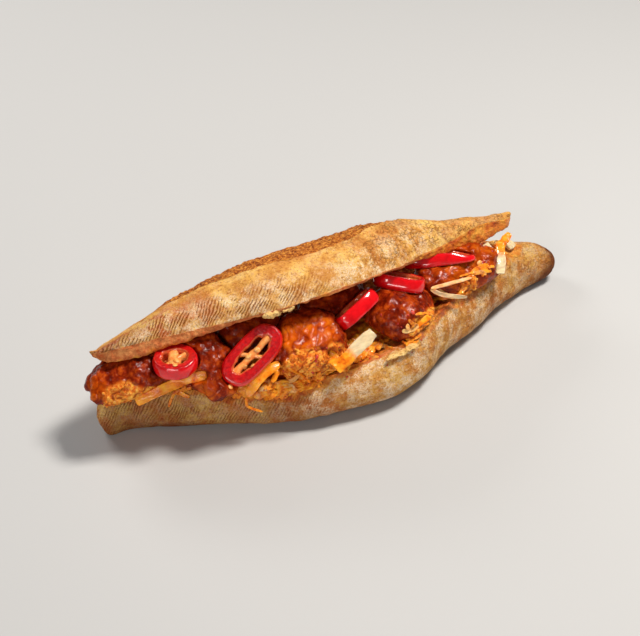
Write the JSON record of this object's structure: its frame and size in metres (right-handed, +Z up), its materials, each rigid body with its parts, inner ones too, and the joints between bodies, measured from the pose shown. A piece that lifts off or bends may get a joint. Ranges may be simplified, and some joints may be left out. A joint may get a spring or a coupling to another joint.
{
  "type": "kimchi chicken sandwich",
  "caption": "Split crusty loaf filled with kimchi, glazed breaded chicken and rings of red chilli, its lid leaning back to show the filling.",
  "frame": {"origin": "under the middle of the whole, on the surface that the loaf stands on", "axes": "+X runs along the loaf towards its round nub, +Z is up, and the open mouth faces -Y"},
  "size_m": [0.2612, 0.073, 0.0741],
  "materials": {
    "bread": "matt, floury baked crust, paler crumb on the cut faces",
    "chicken": "granular golden breading under a wet dark red glaze",
    "chilli": "wet and glossy",
    "kimchi": "wet and translucent, orange to creamy white"
  },
  "bodies": {
    "root": {"bread_bottom": "bread", "bread_top": "bread", "chicken_1": "chicken", "chicken_2": "chicken", "chicken_3": "chicken", "chicken_4": "chicken", "chicken_5": "chicken", "chicken_6": "chicken", "chicken_7": "chicken", "chilli_1": "chilli", "chilli_2": "chilli", "chilli_3": "chilli", "chilli_4": "chilli", "chilli_5": "chilli", "cabbage_1": "kimchi", "cabbage_2": "kimchi", "cabbage_3": "kimchi", "cabbage_4": "kimchi", "cabbage_5": "kimchi", "cabbage_6": "kimchi", "cabbage_7": "kimchi", "cabbage_8": "kimchi", "cabbage_9": "kimchi", "cabbage_10": "kimchi", "cabbage_11": "kimchi", "cabbage_12": "kimchi", "cabbage_strand_1": "kimchi", "cabbage_strand_2": "kimchi", "kimchi": "kimchi"}
  },
  "joints": []
}
